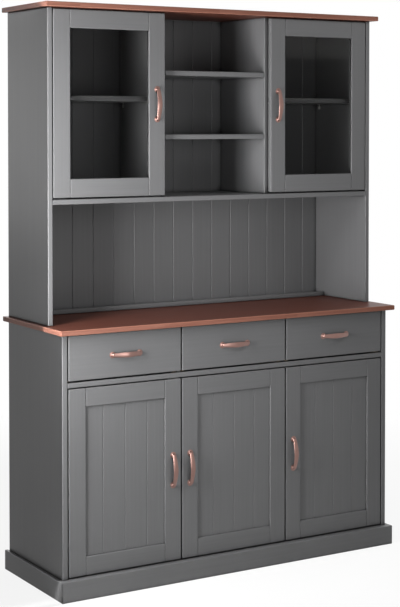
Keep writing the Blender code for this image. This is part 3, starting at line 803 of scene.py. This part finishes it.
def door_frame(word, hinge_side, filling, open_back):
    """Four rounded boards round a filling, with the seat of the filling and the hinge bores cut."""
    node = f"{word}_frame"
    low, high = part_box(node)
    edge = low.x if hinge_side < 0 else high.x
    fill_low, fill_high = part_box(filling)
    gap = Vector((SEAT_GAP, SEAT_GAP, SEAT_GAP))
    seat_low, seat_high = fill_low - gap, fill_high + gap
    if open_back:
        seat_high.y = high.y + OVERCUT
    inner_x = (low.x + STILE, high.x - STILE)
    parts = [
        ((low.x, low.y, low.z), (inner_x[0], high.y, high.z), 0, -1),
        ((inner_x[1], low.y, low.z), (high.x, high.y, high.z), 0, 1),
        ((inner_x[0], low.y, low.z), (inner_x[1], high.y, low.z + RAIL), 1, 0),
        ((inner_x[0], low.y, high.z - RAIL), (inner_x[1], high.y, high.z), 1, 0),
    ]
    shape = bmesh.new()
    for corner, opposite, finish, side in parts:
        cutters = [block(seat_low, seat_high, SEAT_EASE)]
        if side == hinge_side:
            for z in hinge_heights(word):
                bore = turned([(CUP_BORE, -CUP_DEPTH), (CUP_BORE, OVERCUT)])
                place = (edge - hinge_side * CUP_INSET, high.y, z)
                cutters.append(add_to(bmesh.new(), bore, facing(place, (0, 1, 0))))
        part = carve(block(corner, opposite), cutters)
        for face in part.faces:
            face.material_index = finish
        add_to(shape, part)
    fit(f"{node}_boards", shape, upright_and_level, word, [node])
    fit_handle(f"{word}_handle", word, True, high.y)


for word, hinge_side in BASE_DOORS.items():
    door_frame(word, hinge_side, f"{word}_panel", False)
for word, hinge_side in GLAZED_DOORS.items():
    door_frame(word, hinge_side, f"{word}_pane", True)


# Panels of the base doors
# Thin pine boards with a shallow V at each joint, in the same grey. Each panel floats in the
# groove of its frame.
PANEL_V_WIDTH = 3.4 * MM
PANEL_V_DEPTH = 1.1 * MM
joints = (PANEL_V_WIDTH, PANEL_V_DEPTH, HAIR_JOINT_WIDTH, HAIR_JOINT_DEPTH)
for word in BASE_DOORS:
    node = f"{word}_panel"
    shape = boarding(*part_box(node), *joints)
    fit(f"{node}_boards", shape, [grey_pine[UPRIGHT]], word, [node])


# Panes and glazing beads
# Clear float glass, cut to the rebate and held from behind by four small grey beads, pinned to
# the frame.
TONGUE = 8 * MM
BEAD_EASE = 1.2 * MM
GLASS_DEEP = "#dddddd"
GLASS_PALE = "#e2e2e2"
GLASS_IOR = 1.1
GLASS_REAM = 60 * MM


def float_glass():
    """Clear float glass: it lets the light through to the shelves and shows a faint reflection.

    Its IOR is well under the 1.5 of real glass, because the photograph shows no veil on the panes.
    """
    made, tree, surface = new_material("clear_float_glass")
    place = lay(tree, "TexCoord", out="Object")
    ream = lay(tree, "TexNoise", {"Vector": place, "Scale": 1 / GLASS_REAM, "Detail": 1.0}, "Fac")
    tint = {"Factor": ream, "A": linear(GLASS_DEEP), "B": linear(GLASS_PALE)}
    tint = lay(tree, "Mix", tint, "Result", data_type="RGBA")
    pane = {"Base Color": tint, "Roughness": 0.0, "IOR": GLASS_IOR, "Transmission Weight": 1.0}
    shader = lay(tree, "BsdfPrincipled", pane, 0)
    clear = lay(tree, "BsdfTransparent", {"Color": tint}, 0)
    rays = lay(tree, "LightPath").outputs
    passing = {0: rays["Is Shadow Ray"], 1: rays["Is Diffuse Ray"]}
    passing = lay(tree, "Math", passing, 0, operation="MAXIMUM")
    tree.links.new(lay(tree, "MixShader", {0: passing, 1: shader, 2: clear}, 0), surface)
    return made


glass = float_glass()
for word in GLAZED_DOORS:
    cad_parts[f"{word}_pane"].data.materials.clear()
    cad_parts[f"{word}_pane"].data.materials.append(glass)
    low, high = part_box(f"{word}_pane")
    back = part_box(f"{word}_frame")[1].y
    front = high.y + SEAT_GAP
    inner = Vector((TONGUE - SEAT_GAP, 0, TONGUE - SEAT_GAP))
    beads = bmesh.new()
    for corner, opposite, finish in (
        ((low.x, front, low.z), (low.x + inner.x, back, high.z), 0),
        ((high.x - inner.x, front, low.z), (high.x, back, high.z), 0),
        ((low.x + inner.x, front, low.z), (high.x - inner.x, back, low.z + inner.z), 1),
        ((low.x + inner.x, front, high.z - inner.z), (high.x - inner.x, back, high.z), 1),
    ):
        add_to(beads, block(corner, opposite, BEAD_EASE, finish))
    fit(f"{word}_beads", beads, upright_and_level, word)


# Cup hinges
# Pressed and nickel-plated steel. A drawn cup is let into the back of the door, and an arm on a
# mounting plate is screwed to the upright beside it.
DOOR_THICKNESS = 18 * MM
CUP_CLEAR = 0.2 * MM
CUP_RIM = 0.7 * MM
# past the cup's outer wall and up from the door's back, in millimetres
CUP_OUTSIDE = ((-2, -11.6), (0, -10), (0, 0.05), (2, 0.1), (2, 0.42), (1.5, 0.7))
CUP_INSIDE = ((-3.2, -10.4), (-1.2, -8.6), (-1.2, 2))
EAR_SPACING = 24 * MM
EAR_HALF_WIDTH = 6 * MM
EAR_OVERLAP = 3 * MM
EAR_END = 5 * MM
EAR_LIFT = 0.05 * MM
EAR_EASE = 0.3 * MM
EAR_SCREW_SCALE = 0.8
ARM_HEIGHT = 12 * MM
ARM_REACH = 13 * MM
ARM_IN_CUP = (21 * MM, 34 * MM)
ARM_OVER_FLOOR = 3 * MM
ARM_ELBOW = 11 * MM
ARM_FLARE = 1 * MM
ARM_TOE = 2 * MM
ARM_HEEL = 4 * MM
ARM_EASE = 1.2 * MM
# back from the plate's tail, and the screw's scale
ARM_SCREWS = ((9 * MM, 0.75), (22 * MM, 0.62))
ARM_SCREW_LIFT = 0.1 * MM
PLATE = 3 * MM
PLATE_LENGTH = 40 * MM
PLATE_HEIGHT = 44 * MM
PLATE_TAIL = 68.3 * MM
PLATE_LIP = 3 * MM
PLATE_EASE = 0.6 * MM
WING = (30 * MM, 14 * MM)
WING_STEP = 0.2 * MM
PLATE_SCREW_BACK = 22 * MM
PLATE_SCREW_OUT = 16 * MM
PLATE_SCREW_SCALE = 0.9
HINGE_GAP = 0.3 * MM


def plan_block(points, height, radius):
    """A plan outline given a height about Z zero, with its edges rounded over."""
    shape = skin([[(x, y, z) for x, y in points] for z in (-height / 2, height / 2)])
    bmesh.ops.bevel(
        shape, geom=shape.edges[:], offset=radius, segments=2, profile=0.5, affect="EDGES"
    )
    return shape


def hinge_cup():
    """A hollow cup with its rim and two screwed ears, opening along Z from Z zero."""
    wall = CUP_BORE - CUP_CLEAR
    outside, inside = (
        turned([(wall + out * MM, up * MM) for out, up in profile])
        for profile in (CUP_OUTSIDE, CUP_INSIDE)
    )
    for side in (-1, 1):
        near, far = sorted((side * (wall - EAR_OVERLAP), side * (EAR_SPACING + EAR_END)))
        corners = (-EAR_HALF_WIDTH, near, EAR_LIFT), (EAR_HALF_WIDTH, far, CUP_RIM)
        outside = carve(outside, [block(*corners, EAR_EASE)], "UNION")
    shape = carve(outside, [inside])
    for side in (-1, 1):
        spot = facing((0, side * EAR_SPACING, CUP_RIM), (0, 0, 1), EAR_SCREW_SCALE)
        add_to(shape, wood_screw, spot)
    return shape


def hinge_arm(reveal):
    """An arm and its plate: X inwards from the upright's face, Y back from the door's front."""
    door_back = DOOR_THICKNESS + HINGE_GAP + CUP_RIM
    bore_floor = DOOR_THICKNESS - CUP_DEPTH + ARM_OVER_FLOOR
    near, far = [reveal + reach for reach in ARM_IN_CUP]
    tail = PLATE_TAIL
    start = max(HINGE_GAP, reveal + HINGE_GAP) + PLATE / 2
    plan = [
        (start, tail), (ARM_REACH, tail), (ARM_REACH + ARM_FLARE, door_back + ARM_ELBOW),
        (far, door_back + ARM_TOE), (far, bore_floor), (near, bore_floor), (near, door_back),
        (start, door_back + ARM_HEEL),
    ]
    tall, waist = PLATE_HEIGHT / 2, ARM_HEIGHT / 2 + PLATE_LIP
    wings = (HINGE_GAP, tail - WING[0], -tall), (PLATE - WING_STEP, tail - WING[1], tall)
    plates = [
        block((HINGE_GAP, tail - PLATE_LENGTH, -waist), (PLATE, tail, waist), PLATE_EASE),
        block(*wings, PLATE_EASE),
    ]
    shape = carve(plan_block(plan, ARM_HEIGHT, ARM_EASE), plates, "UNION")
    screws = [
        (PLATE, PLATE_SCREW_BACK, side * PLATE_SCREW_OUT, PLATE_SCREW_SCALE) for side in (-1, 1)
    ]
    screws += [(ARM_REACH + ARM_SCREW_LIFT, back, 0, scale) for back, scale in ARM_SCREWS]
    for x, back, z, scale in screws:
        add_to(shape, wood_screw, facing((x, tail - back, z), (1, 0, 0), scale))
    return shape


cup_pattern = hinge_cup()
# the upright that each door hangs on, and which of its two faces
UPRIGHT_OF = {
    "left_door": ("base_side_left", 1),
    "middle_door": ("door_partition", 0),
    "right_door": ("base_side_right", 0),
    "left_glazed_door": ("hutch_side_left", 1),
    "right_glazed_door": ("hutch_side_right", 0),
}
for word, hinge_side in {**BASE_DOORS, **GLAZED_DOORS}.items():
    low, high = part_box(f"{word}_frame")
    edge = low.x if hinge_side < 0 else high.x
    upright, corner = UPRIGHT_OF[word]
    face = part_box(upright)[corner].x
    reveal = -hinge_side * (edge - face)
    arm = hinge_arm(reveal)
    cups = bmesh.new()
    for end, z in zip(("low", "high"), hinge_heights(word)):
        mirror = Matrix.Diagonal((-hinge_side, 1, 1, 1))
        node = f"{word}_hinge_{end}"
        shape = add_to(bmesh.new(), arm, Matrix.Translation((face, low.y, z)) @ mirror)
        fit(f"{node}_arm", shape, [nickel], "carcass", [node])
        turn = Matrix.Rotation(math.radians(-90), 4, "X")
        place = (edge - hinge_side * CUP_INSET, high.y, z)
        add_to(cups, cup_pattern, Matrix.Translation(place) @ turn)
    fit(f"{word}_hinge_cups", cups, [nickel], word)


# Catch and bumpers
# A moulded catch hangs under the deck behind the top of the left door, which carries its strike
# plate. Small pads on the partitions' front edges stop the doors and drawers.
CATCH_X = (-232 * MM, -203 * MM)
CATCH_FRONT = 1.4 * MM
CATCH_DEPTH = 22 * MM
CATCH_DROP = 11 * MM
CATCH_EASE = 1 * MM
STRIKE_INSET = 5 * MM
STRIKE_SHEET = 1.1 * MM
STRIKE_DROP = 1 * MM
STRIKE_FROM_TOP = 2 * MM
STRIKE_EASE = 0.4 * MM
PAD = 3.3 * MM
PAD_SIZE = 10 * MM
PAD_EASE = 1 * MM
PAD_SUNK = 0.1 * MM
DRAWER_PAD_DROP = 14 * MM
DOOR_PAD_INSET = 30 * MM
ABS_DEEP = "#b4b3ae"
ABS_PALE = "#bfbeb9"
ABS_IOR = 1.53
ABS_GRAIN = 0.7 * MM
ABS_RELIEF = 0.05 * MM


def moulded_plastic():
    """Catch and pads: injection-moulded ABS in a pale grey.

    The eye gets a low, even sheen. The spark texture of the mould is drawn coarser than real.
    """
    made, tree, surface = new_material("moulded_pale_abs")
    place = lay(tree, "TexCoord", out="Object")
    grain = lay(tree, "TexNoise", {"Vector": place, "Scale": 1 / ABS_GRAIN, "Detail": 2.0}, "Fac")
    colour = {"Factor": grain, "A": linear(ABS_DEEP), "B": linear(ABS_PALE)}
    colour = lay(tree, "Mix", colour, "Result", data_type="RGBA")
    bump = lay(tree, "Bump", {"Height": grain, "Strength": 0.3, "Distance": ABS_RELIEF}, "Normal")
    moulded = {"Base Color": colour, "Roughness": 0.5, "IOR": ABS_IOR, "Normal": bump}
    tree.links.new(lay(tree, "BsdfPrincipled", moulded, 0), surface)
    return made


plastic = moulded_plastic()
door_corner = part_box("left_door_frame")[1]
deck_low, deck_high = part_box("drawer_deck")
left, right = CATCH_X
catch = block(
    (left, door_corner.y + CATCH_FRONT, deck_low.z - CATCH_DROP),
    (right, door_corner.y + CATCH_DEPTH, deck_low.z),
    CATCH_EASE,
)
fit("left_door_catch", catch, [plastic], "carcass")
strike = block(
    (left + STRIKE_INSET, door_corner.y - PAD_SUNK, deck_low.z - CATCH_DROP - STRIKE_DROP),
    (right - STRIKE_INSET, door_corner.y + STRIKE_SHEET, door_corner.z - STRIKE_FROM_TOP),
    STRIKE_EASE,
)
fit("left_door_strike", strike, [nickel], "left_door")


def pads(name, node, heights):
    """Pads on the front edge of an upright."""
    low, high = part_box(node)
    middle, half = (low.x + high.x) / 2, PAD_SIZE / 2
    shape = bmesh.new()
    for z in heights:
        corner = (middle - half, low.y - PAD, z - half)
        add_to(shape, block(corner, (middle + half, low.y + PAD_SUNK, z + half), PAD_EASE))
    fit(name, shape, [plastic], "carcass")


drawer_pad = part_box("drawer_front_left")[1].z - DRAWER_PAD_DROP
pads("drawer_pads_left", "drawer_partition_left", (deck_high.z + PAD_SIZE / 2, drawer_pad))
pads("drawer_pads_right", "drawer_partition_right", (drawer_pad,))
low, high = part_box("right_door_frame")
pads("door_pads", "door_partition", (low.z + DOOR_PAD_INSET, high.z - DOOR_PAD_INSET))


# Floor
# A wide sheet of matt pale vinyl, laid flat under the cabinet. It shows white to the camera and
# keeps a soft shadow near the cabinet.
FLOOR_HALF = 9.0
SHADOW_REACH = 1.6
SHADOW_FADE = 2.6
FLOOR_SHADOW_SHARE = 0.12
VINYL_DEEP = "#e4e4e3"
VINYL_PALE = "#ececeb"
VINYL_MOTTLE = 40 * MM
WHITE = (1, 1, 1, 1)


def studio_rays(tree):
    """One for the rays that show the studio itself: to the camera, in a gloss and through glass."""
    rays = lay(tree, "LightPath").outputs
    seen = rays["Is Camera Ray"]
    for word in ("Is Glossy Ray", "Is Transmission Ray"):
        seen = lay(tree, "Math", {0: seen, 1: rays[word]}, 0, operation="MAXIMUM")
    return seen


def studio_floor():
    """Matt pale vinyl: near white, evenly lit, with a faint shadow where the cabinet stands."""
    made, tree, surface = new_material("matt_pale_vinyl")
    place = lay(tree, "TexCoord", out="Object")
    mottle = {"Vector": place, "Scale": 1 / VINYL_MOTTLE, "Detail": 2.0}
    mottle = lay(tree, "TexNoise", mottle, "Fac")
    colour = {"Factor": mottle, "A": linear(VINYL_DEEP), "B": linear(VINYL_PALE)}
    colour = lay(tree, "Mix", colour, "Result", data_type="RGBA")
    vinyl = {"Base Color": colour, "Roughness": 0.8, "Specular IOR Level": 0.0}
    vinyl = lay(tree, "BsdfPrincipled", vinyl, 0)
    glow = lay(tree, "Emission", {"Color": WHITE, "Strength": 1.0}, 0)
    away = lay(tree, "VectorMath", {0: place}, "Value", operation="LENGTH")
    near = lay(
        tree, "MapRange",
        {"Value": away, "From Min": SHADOW_REACH, "From Max": SHADOW_FADE,
         "To Min": 1 - FLOOR_SHADOW_SHARE, "To Max": 1.0}, "Result",
    )
    share = lay(tree, "Math", {0: studio_rays(tree), 1: near}, 0, operation="MULTIPLY")
    tree.links.new(lay(tree, "MixShader", {0: share, 1: vinyl, 2: glow}, 0), surface)
    return made


def sheet(name, corners, finish):
    """One flat sheet of the studio, with its four corners."""
    shape = bmesh.new()
    shape.faces.new([shape.verts.new(corner) for corner in corners])
    mesh = bpy.data.meshes.new(name)
    shape.to_mesh(mesh)
    shape.free()
    mesh.materials.append(finish)
    item = bpy.data.objects.new(name, mesh)
    bpy.context.scene.collection.objects.link(item)
    return item


corners = [(x * FLOOR_HALF, y * FLOOR_HALF, 0) for x, y in ((-1, -1), (1, -1), (1, 1), (-1, 1))]
sheet("studio_floor", corners, studio_floor())


# Light
# Soft lamps round the cabinet. Three keys, one above the other, rake the front from the left, and
# black cards beside the cabinet, seen by nothing but the light, keep them off its left side. A
# tall screen far to the left shows only as a sheen on rounded edges and on the metal.
FELT_DEEP = "#050505"
FELT_PALE = "#0a0a0a"
FELT_FLUFF = 4 * MM
CARDS = (
    # two opposite corners of each
    ((-2.8, -0.214, 0.0), (-0.641, -0.214, 0.076)),
    ((-2.8, -0.187, 0.076), (-0.628, -0.187, 0.817)),
    ((-2.8, -0.216, 0.817), (-0.626, -0.091, 0.817)),
    ((-2.8, -0.091, 0.817), (-0.628, -0.091, 1.822)),
)
LAMPS = (
    # name, place, aim, width, height, watts
    ("key_low", (-1.35, -0.5, 0.8), (-0.3, -0.1, 0.8), 0.35, 0.35, 19),
    ("key_middle", (-1.35, -0.5, 1.2), (-0.3, -0.1, 1.2), 0.35, 0.35, 18.5),
    ("key_high", (-1.35, -0.5, 1.72), (-0.3, -0.1, 1.72), 0.35, 0.35, 15),
    ("front_low", (-0.3, -1.05, 0.76), (0, 0, 0.76), 0.45, 0.45, 3.4),
    ("front_high", (-0.3, -1.05, 1.4), (0, 0, 1.4), 0.45, 0.45, 4.2),
    ("right_high", (0.95, -0.95, 2.0), (0, 0, 1.2), 0.6, 0.6, 6),
    ("back_left", (-1.4, 3.2, 1.6), (0, 0, 1.0), 1.4, 1.4, 13),
    ("back_right", (1.4, 3.2, 1.8), (0, 0, 1.0), 1.4, 1.4, 26),
    ("right_soft", (2.4, 0.6, 1.4), (0, 0, 1.0), 1.2, 1.2, 26),
    ("sheen_screen", (-2.4, -0.6, 1.0), (0, -0.1, 1.0), 0.8, 2.2, 60),
)
SKY_STRENGTH = 0.02


def black_felt():
    """Black felt on the cards: it gives the eye nothing and takes up the light."""
    made, tree, surface = new_material("black_felt")
    place = lay(tree, "TexCoord", out="Object")
    fluff = lay(tree, "TexNoise", {"Vector": place, "Scale": 1 / FELT_FLUFF, "Detail": 2.0}, "Fac")
    colour = {"Factor": fluff, "A": linear(FELT_DEEP), "B": linear(FELT_PALE)}
    colour = lay(tree, "Mix", colour, "Result", data_type="RGBA")
    shader = lay(tree, "BsdfPrincipled", {"Base Color": colour, "Roughness": 0.95}, 0)
    tree.links.new(shader, surface)
    return made


def lamp(name, place, aim, width, height, watts):
    """A soft lamp that the camera doesn't see."""
    light = bpy.data.lights.new(name, "AREA")
    light.shape = "RECTANGLE"
    light.size, light.size_y = width, height
    light.energy = watts
    holder = bpy.data.objects.new(name, light)
    holder.location = place
    holder.rotation_euler = (Vector(aim) - Vector(place)).to_track_quat("-Z", "Y").to_euler()
    holder.visible_camera = False
    bpy.context.scene.collection.objects.link(holder)
    return holder


felt = black_felt()
for number, (first, last) in enumerate(CARDS):
    corners = (first, (last[0], *first[1:]), last, (first[0], *last[1:]))
    card = sheet(f"light_card_{number}", corners, felt)
    for way in ("camera", "diffuse", "glossy", "transmission"):
        setattr(card, f"visible_{way}", False)

lamps = {row[0]: lamp(*row) for row in LAMPS}
lamps["sheen_screen"].visible_diffuse = False
# its mirror image would lie as a pale patch in the right pane
lamps["right_high"].visible_glossy = False

sky = bpy.data.worlds.new("studio_sky")
sky.use_nodes = True
tree = sky.node_tree
tree.nodes.clear()
bright = {"Value": studio_rays(tree), "To Min": SKY_STRENGTH, "To Max": 1.0}
strength = lay(tree, "MapRange", bright, "Result")
white = lay(tree, "Background", {"Color": WHITE, "Strength": strength}, 0)
tree.links.new(white, lay(tree, "OutputWorld").inputs["Surface"])
bpy.context.scene.world = sky


# Camera
# A long lens at chest height, to the left of the front, looking very slightly down. A vertical
# shift takes in the whole cabinet, so that its uprights stay nearly parallel.
CAMERA_PLACE = (-2.6343, -4.2813, 1.4532)
CAMERA_TURN = 0.5485
CAMERA_TILT = 0.0289
CAMERA_LENS = 88.752
CAMERA_SENSOR = 36.0
CAMERA_SHIFT = -0.22

view = bpy.data.cameras.new("studio_camera")
view.lens = CAMERA_LENS
view.sensor_width = CAMERA_SENSOR
view.shift_y = CAMERA_SHIFT
camera = bpy.data.objects.new("studio_camera", view)
camera.location = CAMERA_PLACE
camera.rotation_euler = (math.pi / 2 - CAMERA_TILT, 0, -CAMERA_TURN)
bpy.context.scene.collection.objects.link(camera)
bpy.context.scene.camera = camera
bpy.context.scene.view_settings.view_transform = "Standard"
